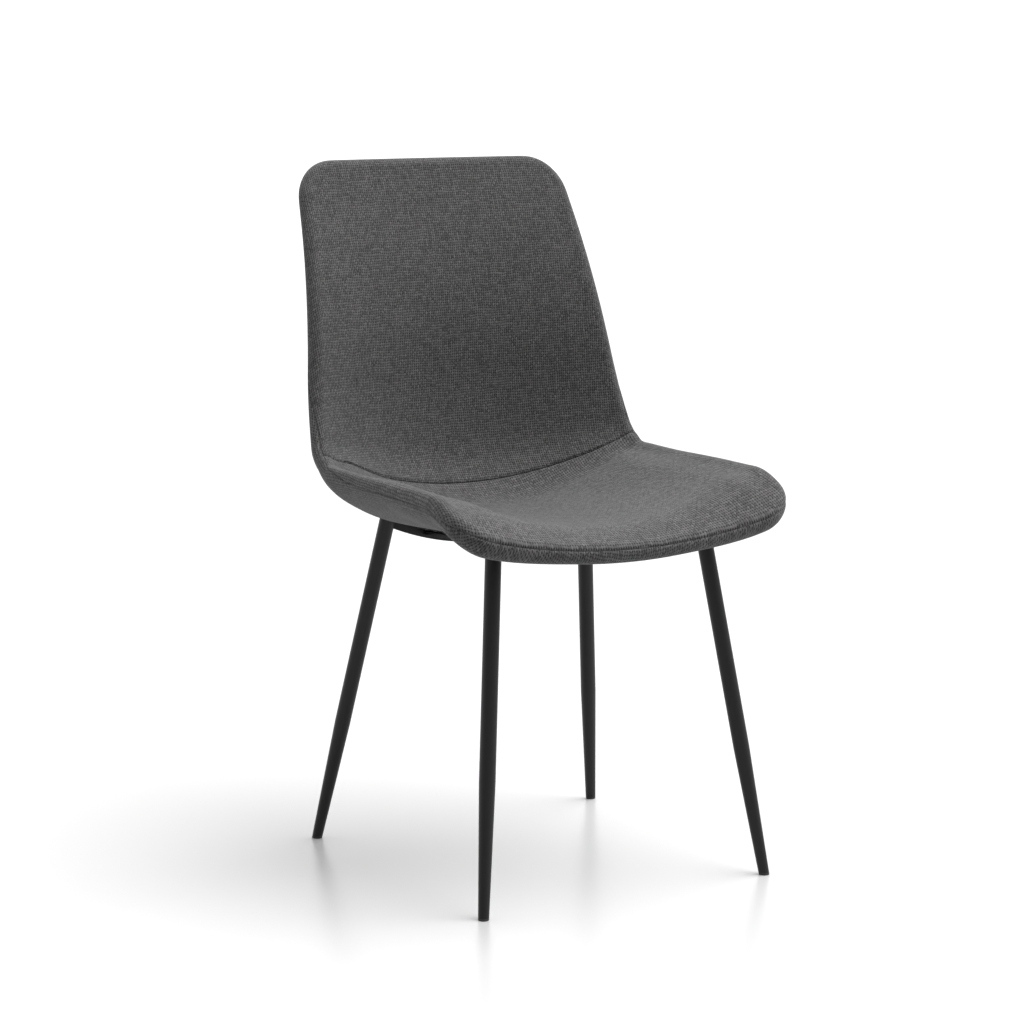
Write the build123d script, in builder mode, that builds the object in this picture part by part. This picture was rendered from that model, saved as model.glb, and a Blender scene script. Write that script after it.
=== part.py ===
"""Upholstered dining chair: a padded plywood shell on a welded steel leg frame.

Frame of the model: millimetres, +Z up, the chair faces -Y, its own left is +X.
The origin is on the floor, under the middle of the chair.
"""
import os
from math import asin, cos, radians, sin

from build123d import *

# ---------------------------------------------------------------- driving sizes
OVERALL_HEIGHT = 875.0
SEAT_HALF_WIDTH = 236.0           # outside of the upholstery, along the seat
BACK_TOP_HALF_WIDTH = 192.0       # where the straight sides would meet the top
BACK_SIDE_BREAK_Z = 516.0         # the sides draw in above this height
SEAT_FRONT_Y = -274.1             # foremost line of the upholstery
SEAT_CORNER_RADIUS = 36.0         # front corners, seen from above
BACK_CORNER_RADIUS = 49.0         # top corners, seen from the front
OUTLINE_REAR_Y = 330.0            # the outlines close here, behind the back
OUTLINE_LOW_Z = 340.0             # and here, below the seat

# Centre profile of the shell's mid surface. It starts at the front edge with a
# heading above horizontal, then each run turns evenly to the next heading.
PROFILE_START_Y = -259.1
PROFILE_START_Z = 428.4
PROFILE_START_HEADING = 18.0
PROFILE_RUNS = (                  # (length, heading at its end)
    (61.0, -4.0),                 # front edge, falling to the front
    (273.0, -3.0),                # seat
    (156.0, 77.5),                # bend up into the back
    (104.0, 88.0),                # lumbar
    (192.0, 71.3),                # upper back
    (70.0, 71.3),                 # straight to the top edge
)
PROFILE_STEP = 0.5                # step of the walk along the profile
PROFILE_OVERRUN = 26.0            # layers run past both ends and are trimmed
CREASE_AT = 425.0                 # distance along the profile of the crease seam

# The shell is dished: DISH_HALF_WIDTH to each side it stands this far proud of
# its centre line, towards the sitter.
DISH_HALF_WIDTH = 225.0
DISH_DEPTHS = (                   # (distance along the profile, depth)
    (0.0, 30.0),
    (61.0, 60.0),
    (191.0, 67.0),
    (331.0, 76.0),
    (423.0, 76.0),
    (594.0, 53.0),
    (766.0, 28.0),
    (852.0, 16.0),
)
SECTION_HALF_WIDTH = 239.0        # sections reach past the outline
STATIONS = (                      # distances of the lofted sections
    -26.0, 0.0, 30.0, 61.0, 100.0, 145.0, 190.0, 240.0, 290.0, 334.0,
    360.0, 386.0, 412.0, 438.0, 464.0, 490.0,
    525.0, 560.0, 594.0, 640.0, 690.0, 740.0, 786.0, 820.0, 852.0, 878.0,
)

# Build-up of the shell, measured from the mid surface, plus towards the sitter.
PLY_TOP = 1.0
PLY_BOTTOM = -9.0
SEAT_FACE = 15.5                  # outside of the cover on the seat
BACK_FACE = 12.0                  # outside of the cover on the back
FACE_CHANGE = (377.0, 528.0)      # the padding thins out between these stations
COVER_THICKNESS = 1.4
LAYER_GAP = 0.3                   # between two layers
PLY_INSET = 12.5                  # edge of the plywood, inside the outline
INNER_REACH = 4.0                 # how far a cutting layer passes the mid surface

# Legs: round tube, parallel above the taper, drawn down to a slim foot.
LEG_RADIUS = 10.0
LEG_FOOT_RADIUS = 6.6
LEG_TAPER_TOP = 163.0             # distance along the leg where the taper ends
LEG_WALL = 1.5
FRONT_FOOT = (200.4, -258.0)      # centre of the left foot on the floor
FRONT_SLOPE = (-0.1213, 0.1587)   # shift in X and Y for each mm of height
FRONT_LEG_TOP = 441.5             # height of the cut, on the leg's axis
REAR_FOOT = (208.4, 175.1)
REAR_SLOPE = (-0.1473, -0.1976)
REAR_LEG_TOP = 430.8
LEG_TOP_TILT = 0.38               # the cut rises outward, with the shell above it
LEG_OVERRUN = 30.0                # tubes run past both cuts
GLIDE_HEIGHT = 3.0                # plastic foot that shows under the tube
GLIDE_STEM = 22.0
GLIDE_CLEARANCE = 0.1
GLIDE_CHAMFER = 0.6
CAP_THICKNESS = 1.5               # plug that closes the top of a leg

# Cross plates: flat steel on edge, curved to follow the dished underside.
PLATE_THICKNESS = 5.0
PLATE_HEIGHT = 15.6               # at the middle
PLATE_END_HEIGHT = 13.5
REAR_PLATE_Y = 92.9
REAR_PLATE_LOW = 387.6            # bottom edge at the middle
REAR_PLATE_RISE = 28.6            # rise of the bottom edge at PLATE_RISE_AT
FRONT_PLATE_Y = -189.6
FRONT_PLATE_LOW = 402.5
FRONT_PLATE_RISE = 23.0
PLATE_RISE_AT = 140.0
PLATE_REACH = 146.0               # half length before the ends are cut

# Mounting bars: flat steel between the cross plates, bolted up into the shell.
BAR_X = 75.0
BAR_WIDTH = 28.0
BAR_THICKNESS = 4.0
BOLT_STATIONS = (106.0, 262.0)    # distances along the profile
SPACER_THICKNESS = 3.0
SPACER_RADIUS = 10.0
SPACER_CLEARANCE = 1.6            # from the outer cover to the spacers' top face

# M6 fasteners.
BOLT_RADIUS = 3.0
BOLT_LENGTH = 25.0                # under the head
BOLT_HEAD_RADIUS = 5.5
BOLT_HEAD_HEIGHT = 4.0
BOLT_SOCKET_RADIUS = 2.3          # across the corners of the hexagon
BOLT_SOCKET_DEPTH = 2.2
BOLT_HOLE_RADIUS = 3.4
WASHER_RADIUS = 8.0
WASHER_THICKNESS = 1.2
SPRING_WASHER_RADIUS = 5.4
SPRING_WASHER_THICKNESS = 1.6
SPRING_WASHER_GAP = 1.2
TEE_NUT_RADIUS = 9.5
TEE_NUT_FLANGE = 1.2
TEE_NUT_BARREL_RADIUS = 4.2
TEE_NUT_BARREL_LENGTH = 8.0
TEE_NUT_CLEARANCE = 0.7           # flange to the curved top of the plywood
TEE_NUT_POCKET = 4.0              # depth of the pocket in the foam
THREAD_CLEARANCE = 0.05

# Dust cover under the seat.
DUST_COVER_THICKNESS = 0.6
DUST_COVER_HALF_WIDTH = 118.0
DUST_COVER_FRONT_Y = -229.0
DUST_COVER_REAR_Y = 82.0
DUST_COVER_CORNER = 30.0

SIDES = (("left", 1.0), ("right", -1.0))
os.makedirs("parts", exist_ok=True)


def finish(builder, name):
    """Label a finished piece and write it out."""
    builder.part.label = name
    export_step(builder.part, f"parts/{name}.step")


# ---------------------------------------------------------------- shell geometry
def heading_at(distance):
    """Heading of the centre profile above horizontal, in degrees."""
    heading = PROFILE_START_HEADING
    start = 0.0
    for length, end_heading in PROFILE_RUNS:
        if distance <= start + length:
            share = max(0.0, distance - start) / length
            return heading + share * (end_heading - heading)
        start += length
        heading = end_heading
    return heading


def profile_point(distance):
    """(y, z) of the centre profile, walked in short steps from its start."""
    y = PROFILE_START_Y
    z = PROFILE_START_Z
    count = max(1, round(abs(distance) / PROFILE_STEP))
    step = distance / count
    for index in range(count):
        heading = radians(heading_at((index + 0.5) * step))
        y += step * cos(heading)
        z += step * sin(heading)
    return y, z


def smooth_step(value, low, high):
    """0 below low, 1 above high, with a smooth change between."""
    share = min(1.0, max(0.0, (value - low) / (high - low)))
    return share * share * (3.0 - 2.0 * share)


def dish_radius(distance):
    """Radius of the cross section's arc at a station."""
    knots = [(-PROFILE_OVERRUN, DISH_DEPTHS[0][1])]
    knots += DISH_DEPTHS
    knots += [(DISH_DEPTHS[-1][0] + PROFILE_OVERRUN, DISH_DEPTHS[-1][1])]
    for (start, depth), (end, next_depth) in zip(knots, knots[1:]):
        if start <= distance <= end:
            depth += (next_depth - depth) * (distance - start) / (end - start)
            return (DISH_HALF_WIDTH**2 + depth**2) / (2.0 * depth)
    raise ValueError("the station is off the profile")


def face_height(distance):
    """Distance from the mid surface to either outside face of the covers."""
    return SEAT_FACE + (BACK_FACE - SEAT_FACE) * smooth_step(distance, *FACE_CHANGE)


def station_plane(distance):
    """Plane across the profile: local X is +X, local Y points to the sitter."""
    y, z = profile_point(distance)
    heading = radians(heading_at(distance))
    return Plane(origin=(0, y, z), x_dir=(1, 0, 0), z_dir=(0, -cos(heading), -sin(heading)))


def shell_frame(distance, x, height):
    """Plane on the shell at a station, x to the side, its Z towards the sitter."""
    radius = dish_radius(distance)
    angle = asin(x / radius)
    plane = station_plane(distance)
    across = (radius - height) * sin(angle)
    up = radius - (radius - height) * cos(angle)
    origin = plane.from_local_coords(Vector(across, up, 0))
    normal = plane.x_dir * (-sin(angle)) + plane.y_dir * cos(angle)
    return Plane(origin=origin, x_dir=-plane.z_dir, z_dir=normal)


def layer_sections(low, high, inset=0.0):
    """Sections of a layer between two arcs about one centre, one at each station."""
    sections = []
    for distance in STATIONS:
        radius = dish_radius(distance)
        angle = asin((SECTION_HALF_WIDTH - inset) / radius)
        corners = []
        middles = []
        for height in (low(distance), high(distance)):
            reach = (radius - height) * sin(angle)
            rise = radius - (radius - height) * cos(angle)
            corners.append(((-reach, rise), (reach, rise)))
            middles.append((0, height))
        with BuildSketch(station_plane(distance)) as section:
            with BuildLine():
                ThreePointArc(corners[0][0], middles[0], corners[0][1])
                Line(corners[0][1], corners[1][1])
                ThreePointArc(corners[1][1], middles[1], corners[1][0])
                Line(corners[1][0], corners[0][0])
            make_face()
        sections.append(section.sketch)
    return sections


def plan_outline(inset):
    """Outline seen from above, drawn in by inset."""
    front = SEAT_FRONT_Y + inset
    with BuildSketch() as outline:
        with Locations((0, (front + OUTLINE_REAR_Y) / 2)):
            Rectangle(2 * (SEAT_HALF_WIDTH - inset), OUTLINE_REAR_Y - front)
        corners = outline.vertices().group_by(Axis.Y)[0]
        fillet(corners, SEAT_CORNER_RADIUS - inset)
    return outline.sketch


def face_outline(inset):
    """Outline seen from the front, drawn in by inset."""
    side = SEAT_HALF_WIDTH - inset
    top_side = BACK_TOP_HALF_WIDTH - inset
    top = OVERALL_HEIGHT - inset
    with BuildSketch(Plane.XZ) as outline:
        with BuildLine():
            Polyline(
                (-side, OUTLINE_LOW_Z),
                (side, OUTLINE_LOW_Z),
                (side, BACK_SIDE_BREAK_Z),
                (top_side, top),
                (-top_side, top),
                (-side, BACK_SIDE_BREAK_Z),
                close=True,
            )
        make_face()
        corners = outline.vertices().group_by(Axis.Z)[-1]
        fillet(corners, BACK_CORNER_RADIUS - inset)
    return outline.sketch


def outline_prism(inset):
    """Solid inside both outlines."""
    with BuildPart() as prism:
        extrude(plan_outline(inset), amount=OVERALL_HEIGHT)
        extrude(face_outline(inset), amount=OUTLINE_REAR_Y, both=True, mode=Mode.INTERSECT)
    return prism.part


def shell_layer(low, high, inset, keep=Keep.ALL):
    """One layer of the shell, trimmed to the outline drawn in by inset.

    keep picks the seat side or the back side of the crease.
    """
    prism = outline_prism(inset)
    with BuildPart() as layer:
        loft(sections=layer_sections(low, high, inset))
        add(prism, mode=Mode.INTERSECT)
        if keep != Keep.ALL:
            split(bisect_by=station_plane(CREASE_AT), keep=keep)
    return layer.part


def constant(height):
    """A height that is the same at every station."""
    return lambda distance: height


def outer_face(distance):
    return face_height(distance)


def inner_face(distance):
    return face_height(distance) - COVER_THICKNESS


def foam_face(distance):
    return inner_face(distance) - LAYER_GAP


def below(height):
    """The same height on the other side of the mid surface."""
    return lambda distance: -height(distance)


SEAT_SIDE = Keep.TOP
BACK_SIDE = Keep.BOTTOM
FOAM_INSET = COVER_THICKNESS + LAYER_GAP

# ---------------------------------------------------------------- fastener stacks
bolt_planes = {}
for side, sign in SIDES:
    underside = [
        shell_frame(s, sign * BAR_X, -face_height(s) - SPACER_CLEARANCE)
        for s in BOLT_STATIONS
    ]
    along = (underside[1].origin - underside[0].origin).normalized()
    tilt = (underside[0].z_dir + underside[1].z_dir).normalized()
    normal = (tilt - along * tilt.dot(along)).normalized()
    bolt_planes[side] = [Plane(origin=p.origin, x_dir=along, z_dir=normal) for p in underside]
all_bolt_planes = [plane for side, _ in SIDES for plane in bolt_planes[side]]

BAR_TOP = -SPACER_THICKNESS
BAR_LOW = BAR_TOP - BAR_THICKNESS
WASHER_LOW = BAR_LOW - WASHER_THICKNESS
SPRING_LOW = WASHER_LOW - SPRING_WASHER_THICKNESS
PLY_LOW_OVER_BOLT = SEAT_FACE + SPACER_CLEARANCE + PLY_BOTTOM
PLY_TOP_OVER_BOLT = PLY_LOW_OVER_BOLT + PLY_TOP - PLY_BOTTOM
TEE_NUT_SEAT = PLY_TOP_OVER_BOLT + TEE_NUT_CLEARANCE
TEE_NUT_TOP = TEE_NUT_SEAT + TEE_NUT_FLANGE


def bolt_cylinders(radius, low, high):
    """Cylinders on the four bolt axes, between two heights over the bolt planes."""
    with BuildPart() as cylinders:
        for plane in all_bolt_planes:
            with BuildSketch(plane.offset(low)):
                Circle(radius)
            extrude(amount=high - low)
    return cylinders.part


bolt_clearance = bolt_cylinders(BOLT_HOLE_RADIUS, SPRING_LOW, TEE_NUT_TOP)
tee_nut_bores = bolt_cylinders(TEE_NUT_BARREL_RADIUS + LAYER_GAP, 0.0, TEE_NUT_TOP)
tee_nut_pockets = bolt_cylinders(
    TEE_NUT_RADIUS + LAYER_GAP,
    PLY_TOP_OVER_BOLT - TEE_NUT_POCKET,
    PLY_TOP_OVER_BOLT + TEE_NUT_POCKET,
)

# ---------------------------------------------------------------- moulded shell
with BuildPart() as plywood_shell:
    add(shell_layer(constant(PLY_BOTTOM), constant(PLY_TOP), PLY_INSET))
    add(tee_nut_bores, mode=Mode.SUBTRACT)
finish(plywood_shell, "plywood_shell")

# ---------------------------------------------------------------- padding
with BuildPart() as seat_foam:
    add(shell_layer(constant(PLY_TOP + LAYER_GAP), foam_face, FOAM_INSET, SEAT_SIDE))
    add(tee_nut_pockets, mode=Mode.SUBTRACT)
finish(seat_foam, "seat_foam")

with BuildPart() as back_foam:
    add(shell_layer(constant(PLY_TOP + LAYER_GAP), foam_face, FOAM_INSET, BACK_SIDE))
finish(back_foam, "back_foam")

with BuildPart() as edge_foam:
    add(shell_layer(constant(PLY_BOTTOM), constant(PLY_TOP), FOAM_INSET))
    add(outline_prism(PLY_INSET - LAYER_GAP), mode=Mode.SUBTRACT)
finish(edge_foam, "edge_foam")

with BuildPart() as outer_wadding:
    add(shell_layer(below(foam_face), constant(PLY_BOTTOM - LAYER_GAP), FOAM_INSET))
    add(bolt_clearance, mode=Mode.SUBTRACT)
finish(outer_wadding, "outer_wadding")

# ---------------------------------------------------------------- covers
with BuildPart() as sitting_side:
    add(shell_layer(constant(LAYER_GAP / 2), outer_face, 0.0))
    add(shell_layer(constant(-INNER_REACH), inner_face, COVER_THICKNESS), mode=Mode.SUBTRACT)

with BuildPart() as seat_cover:
    add(sitting_side.part)
    split(bisect_by=station_plane(CREASE_AT), keep=SEAT_SIDE)
finish(seat_cover, "seat_cover")

with BuildPart() as back_cover:
    add(sitting_side.part)
    split(bisect_by=station_plane(CREASE_AT), keep=BACK_SIDE)
finish(back_cover, "back_cover")

with BuildPart() as outer_cover:
    add(shell_layer(below(outer_face), constant(-LAYER_GAP / 2), 0.0))
    add(shell_layer(below(inner_face), constant(INNER_REACH), COVER_THICKNESS), mode=Mode.SUBTRACT)
    add(bolt_clearance, mode=Mode.SUBTRACT)
finish(outer_cover, "outer_cover")


def dust_face(distance):
    return -face_height(distance) - LAYER_GAP


def dust_back(distance):
    return dust_face(distance) - DUST_COVER_THICKNESS


with BuildPart() as dust_cover:
    loft(sections=layer_sections(dust_back, dust_face))
    with BuildSketch():
        with Locations((0, (DUST_COVER_FRONT_Y + DUST_COVER_REAR_Y) / 2)):
            RectangleRounded(
                2 * DUST_COVER_HALF_WIDTH,
                DUST_COVER_REAR_Y - DUST_COVER_FRONT_Y,
                DUST_COVER_CORNER,
            )
    extrude(amount=OVERALL_HEIGHT, mode=Mode.INTERSECT)
    add(bolt_clearance, mode=Mode.SUBTRACT)
finish(dust_cover, "dust_cover")


# ---------------------------------------------------------------- legs
def leg_placement(foot, slope):
    """Plane that holds a leg's axis as its local Y, and the axis itself."""
    origin = Vector(foot[0], foot[1], 0)
    direction = Vector(slope[0], slope[1], 1).normalized()
    across = direction.cross(Vector(1, 0, 0)).normalized()
    plane = Plane(origin=origin, x_dir=across, z_dir=across.cross(direction))
    return plane, Axis(origin, direction)


def taper_slope():
    return (LEG_RADIUS - LEG_FOOT_RADIUS) / LEG_TAPER_TOP


def leg_body(foot, slope, top, shrink):
    """Solid round body of a leg, its surface drawn in by shrink, not yet cut."""
    plane, axis = leg_placement(foot, slope)
    low_radius = LEG_FOOT_RADIUS - shrink - LEG_OVERRUN * taper_slope()
    high = top + 2 * LEG_OVERRUN
    with BuildPart() as body:
        with BuildSketch(plane):
            with BuildLine():
                Polyline(
                    (0, -LEG_OVERRUN),
                    (low_radius, -LEG_OVERRUN),
                    (LEG_RADIUS - shrink, LEG_TAPER_TOP),
                    (LEG_RADIUS - shrink, high),
                    (0, high),
                    close=True,
                )
            make_face()
        revolve(axis=axis)
    return body.part


def leg_top_plane(foot, slope, top, sign):
    """Cut at the top of a leg, parallel to the shell's underside."""
    middle = (foot[0] + slope[0] * top, foot[1] + slope[1] * top, top)
    return Plane(origin=middle, z_dir=(-sign * LEG_TOP_TILT, 0, 1))


leg_envelopes = []
for end, foot, slope, top in (
    ("front", FRONT_FOOT, FRONT_SLOPE, FRONT_LEG_TOP),
    ("rear", REAR_FOOT, REAR_SLOPE, REAR_LEG_TOP),
):
    for side, sign in SIDES:
        own_foot = (sign * foot[0], foot[1])
        own_slope = (sign * slope[0], slope[1])
        outside = leg_body(own_foot, own_slope, top, 0.0)
        inside = leg_body(own_foot, own_slope, top, LEG_WALL)
        top_cut = leg_top_plane(own_foot, own_slope, top, sign)
        leg_envelopes.append(outside)

        with BuildPart() as leg:
            add(outside)
            add(inside, mode=Mode.SUBTRACT)
            split(bisect_by=Plane.XY.offset(GLIDE_HEIGHT), keep=Keep.TOP)
            split(bisect_by=top_cut, keep=Keep.BOTTOM)
        finish(leg, f"{end}_{side}_leg")

        with BuildPart() as glide:
            add(outside)
            split(bisect_by=Plane.XY, keep=Keep.TOP)
            split(bisect_by=Plane.XY.offset(GLIDE_HEIGHT), keep=Keep.BOTTOM)
            chamfer(glide.edges().group_by(Axis.Z)[0], GLIDE_CHAMFER)
            placement, _ = leg_placement(own_foot, own_slope)
            stem_plane = Plane(origin=placement.origin, z_dir=placement.y_dir)
            with BuildSketch(stem_plane.offset(GLIDE_HEIGHT / 2)):
                Circle(LEG_FOOT_RADIUS - LEG_WALL - GLIDE_CLEARANCE)
            extrude(amount=GLIDE_STEM)
        finish(glide, f"{end}_{side}_glide")

        with BuildPart() as cap:
            add(leg_body(own_foot, own_slope, top, LEG_WALL + GLIDE_CLEARANCE))
            split(bisect_by=top_cut.offset(-CAP_THICKNESS), keep=Keep.TOP)
            split(bisect_by=top_cut, keep=Keep.BOTTOM)
        finish(cap, f"{end}_{side}_leg_cap")


# ---------------------------------------------------------------- cross plates
def cross_plate(y, low, rise):
    """Curved flat plate on edge, its ends cut to the legs."""
    end_low = low + rise * (PLATE_REACH / PLATE_RISE_AT) ** 2
    end_high = end_low + PLATE_END_HEIGHT
    with BuildPart() as plate:
        with BuildSketch(Plane.XZ.offset(-y)):
            with BuildLine():
                ThreePointArc((-PLATE_REACH, end_low), (0, low), (PLATE_REACH, end_low))
                Line((PLATE_REACH, end_low), (PLATE_REACH, end_high))
                ThreePointArc(
                    (PLATE_REACH, end_high),
                    (0, low + PLATE_HEIGHT),
                    (-PLATE_REACH, end_high),
                )
                Line((-PLATE_REACH, end_high), (-PLATE_REACH, end_low))
            make_face()
        extrude(amount=PLATE_THICKNESS / 2, both=True)
        for envelope in leg_envelopes:
            add(envelope, mode=Mode.SUBTRACT)
    return plate


finish(cross_plate(FRONT_PLATE_Y, FRONT_PLATE_LOW, FRONT_PLATE_RISE), "front_cross_plate")
finish(cross_plate(REAR_PLATE_Y, REAR_PLATE_LOW, REAR_PLATE_RISE), "rear_cross_plate")

# ---------------------------------------------------------------- mounting bars
bar_front = FRONT_PLATE_Y + PLATE_THICKNESS / 2
bar_rear = REAR_PLATE_Y - PLATE_THICKNESS / 2
bar_overlength = bar_rear - bar_front + 2 * BAR_WIDTH
for side, sign in SIDES:
    front_plane, rear_plane = bolt_planes[side]
    middle = (front_plane.origin + rear_plane.origin) * 0.5
    bar_plane = Plane(origin=middle, x_dir=front_plane.x_dir, z_dir=front_plane.z_dir)
    with BuildPart() as bar:
        with BuildSketch(bar_plane.offset(BAR_LOW)):
            Rectangle(2 * bar_overlength, BAR_WIDTH)
        extrude(amount=BAR_THICKNESS)
        split(bisect_by=Plane(origin=(0, bar_front, 0), z_dir=(0, 1, 0)), keep=Keep.TOP)
        split(bisect_by=Plane(origin=(0, bar_rear, 0), z_dir=(0, 1, 0)), keep=Keep.BOTTOM)
        add(bolt_clearance, mode=Mode.SUBTRACT)
    finish(bar, f"{side}_mounting_bar")


# ---------------------------------------------------------------- fasteners
def bolt_rings(inner, outer, low, high):
    """Rings on the four bolt axes."""
    with BuildPart() as rings:
        for plane in all_bolt_planes:
            with BuildSketch(plane.offset(low)):
                Circle(outer)
                Circle(inner, mode=Mode.SUBTRACT)
            extrude(amount=high - low)
    return rings


finish(bolt_rings(BOLT_HOLE_RADIUS, SPACER_RADIUS, BAR_TOP, 0.0), "rubber_spacers")
finish(bolt_rings(BOLT_HOLE_RADIUS, WASHER_RADIUS, WASHER_LOW, BAR_LOW), "flat_washers")

with BuildPart() as spring_washers:
    for plane in all_bolt_planes:
        with BuildSketch(plane.offset(SPRING_LOW)):
            Circle(SPRING_WASHER_RADIUS)
            Circle(BOLT_HOLE_RADIUS, mode=Mode.SUBTRACT)
            with Locations((0, SPRING_WASHER_RADIUS)):
                Rectangle(SPRING_WASHER_GAP, 2 * SPRING_WASHER_RADIUS, mode=Mode.SUBTRACT)
        extrude(amount=SPRING_WASHER_THICKNESS)
finish(spring_washers, "spring_washers")

with BuildPart() as mounting_bolts:
    for plane in all_bolt_planes:
        with BuildSketch(plane.offset(SPRING_LOW)):
            Circle(BOLT_RADIUS)
        extrude(amount=BOLT_LENGTH)
        with BuildSketch(plane.offset(SPRING_LOW - BOLT_HEAD_HEIGHT)):
            Circle(BOLT_HEAD_RADIUS)
        extrude(amount=BOLT_HEAD_HEIGHT)
        with BuildSketch(plane.offset(SPRING_LOW - BOLT_HEAD_HEIGHT)):
            RegularPolygon(BOLT_SOCKET_RADIUS, 6)
        extrude(amount=BOLT_SOCKET_DEPTH, mode=Mode.SUBTRACT)
finish(mounting_bolts, "mounting_bolts")

with BuildPart() as tee_nuts:
    for plane in all_bolt_planes:
        with BuildSketch(plane.offset(TEE_NUT_SEAT)):
            Circle(TEE_NUT_RADIUS)
        extrude(amount=TEE_NUT_FLANGE)
        with BuildSketch(plane.offset(TEE_NUT_TOP - TEE_NUT_BARREL_LENGTH)):
            Circle(TEE_NUT_BARREL_RADIUS)
        extrude(amount=TEE_NUT_BARREL_LENGTH)
        with BuildSketch(plane):
            Circle(BOLT_RADIUS + THREAD_CLEARANCE)
        extrude(amount=TEE_NUT_TOP + TEE_NUT_FLANGE, mode=Mode.SUBTRACT)
finish(tee_nuts, "tee_nuts")
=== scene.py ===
"""Looks of an upholstered dining chair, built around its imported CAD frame.

The upholstery is three sewn pads on a moulded plywood shell: a seat pad and a back
pad that meet at a crease seam, and an outer pad that wraps the underside and the
rear and meets both at a rim seam. A thin dust cover is stapled on below. All lengths
are in millimetres until mesh_piece() turns them into metres.
"""

from math import asin, cos, pi, radians, sin

import bpy
import numpy as np
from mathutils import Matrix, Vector


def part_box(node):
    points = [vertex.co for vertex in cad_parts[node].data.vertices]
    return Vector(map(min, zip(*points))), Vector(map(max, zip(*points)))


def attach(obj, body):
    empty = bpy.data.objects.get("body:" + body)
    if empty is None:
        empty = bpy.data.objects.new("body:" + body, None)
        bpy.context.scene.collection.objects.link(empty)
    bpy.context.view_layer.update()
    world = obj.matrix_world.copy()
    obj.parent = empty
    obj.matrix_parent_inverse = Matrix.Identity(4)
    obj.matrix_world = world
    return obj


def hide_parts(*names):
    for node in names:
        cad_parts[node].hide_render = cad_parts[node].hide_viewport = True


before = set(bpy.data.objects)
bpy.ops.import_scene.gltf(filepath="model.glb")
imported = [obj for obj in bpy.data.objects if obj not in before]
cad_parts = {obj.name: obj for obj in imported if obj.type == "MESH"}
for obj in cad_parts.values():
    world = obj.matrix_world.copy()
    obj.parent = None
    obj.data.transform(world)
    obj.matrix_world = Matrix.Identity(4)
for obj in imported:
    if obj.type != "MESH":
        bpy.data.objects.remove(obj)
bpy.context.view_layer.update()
MM = 1000.0

# ------------------------------ driving sizes
CAD_LOW, CAD_HIGH = (np.array(corner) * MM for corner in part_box("outer_cover"))
FRONT_Y = CAD_LOW[1]
SEAT_HALF_WIDTH = CAD_HIGH[0]
TOP_Z = CAD_HIGH[2]
TOP_HALF_WIDTH = 192.0
SIDE_BREAK_Z = 516.0
FRONT_CORNER = 43.0
TOP_CORNER = 55.0
CORNER_POINTS = 21                                # points round a quarter turn
TOP_CORNER_GUESS = (780.0, 0.2)                   # station and angle near its start

# Centre profile of the shell's mid surface, walked from the front edge.
PROFILE_START = (FRONT_Y + 15.0, 428.4, 18.0)     # y, z, heading in degrees
PROFILE_RUNS = (                                  # length, heading at its end
    (61.0, -4.0),
    (273.0, -3.0),
    (156.0, 77.5),
    (104.0, 88.0),
    (192.0, 71.3),
    (70.0, 71.3),
)
DISH_HALF_WIDTH = 225.0
DISH = (                                          # station, rise at DISH_HALF_WIDTH
    (0.0, 30.0), (61.0, 60.0), (191.0, 67.0), (331.0, 76.0), (423.0, 76.0),
    (594.0, 53.0), (766.0, 28.0), (852.0, 16.0),
)
DISH_BLEND = 36.0                                 # the dish changes smoothly over this
SEAT_FACE, BACK_FACE = 15.5, 12.0                 # half thickness of the upholstery
FACE_CHANGE = (377.0, 528.0)
PLY_TOP, PLY_LOW = 1.2, -9.3                      # the pads' inner faces

# Rim of the upholstery: a line inside the outline, with half an ellipse round it on the
# sitter's side and a longer rounding below.
RIM_RADIUS = 11.5
RIM_TOPS = (                                      # (station, half height on top)
    (-5.0, 13.0), (15.0, 11.5), (40.0, 7.6), (95.0, 8.5), (145.0, 10.9),
    (200.0, 10.2), (250.0, 6.6), (325.0, 6.4), (425.0, 8.5), (470.0, 11.0),
)
FLANK_EXTRA = (                                   # (station, extra thickness outside)
    (-5.0, 7.0), (20.0, 7.5), (50.0, 9.0), (95.0, 11.0), (150.0, 8.0), (200.0, 4.5),
    (255.0, 6.5), (320.0, 8.0), (380.0, 6.0), (430.0, 2.5), (480.0, 0.0),
)
FLANK_REACH = (                                   # (station, width of the rounding)
    (-5.0, 16.0), (45.0, 20.0), (100.0, 40.0), (200.0, 45.0), (300.0, 58.0),
    (390.0, 42.0), (460.0, 16.0), (900.0, 13.5),
)
FLANK_SIDES = (                                   # (station, angles where the extra sets in)
    (10.0, 0.08, 0.26),
    (110.0, 0.2, 0.48),
)
RIM_RISE = 45.0                                   # the pads reach full height this far in
RING_OFFSETS = (3.0, 6.5, 10.5, 15.0)

# Rim seam: its angle round the rim, from -90 (underside) to 90 (sitter's side).
SEAM_ANGLES = (                                   # (station, angle)
    (-5.0, 37.0), (4.5, 38.0), (8.0, 36.0), (14.0, 14.0), (22.0, -10.0),
    (40.0, -52.0), (70.0, -62.0), (280.0, -66.0), (318.0, -26.0), (370.0, 8.0),
    (398.0, 21.0), (456.0, 37.0), (505.0, 36.0), (535.0, 18.0), (565.0, -12.0),
    (600.0, -38.0), (900.0, -42.0),
)
SEAM_DEPTH, SEAM_WIDTH = 1.3, 1.3
SEAM_ALLOWANCE = 0.8                              # cloth between the seam and the lining
LINING_INSET = -0.4                               # the lining's corner, from the rim line
CREASE_PATH = (                                   # (section angle, station)
    (-0.70, 438.0), (-0.595, 429.0), (-0.56, 432.0), (-0.51, 432.0), (-0.44, 426.0),
    (-0.38, 422.0), (0.45, 422.0), (0.54, 420.0), (0.595, 429.0), (0.70, 438.0),
)
CREASE_DEPTH, CREASE_WIDTH = 2.0, 1.5
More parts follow.
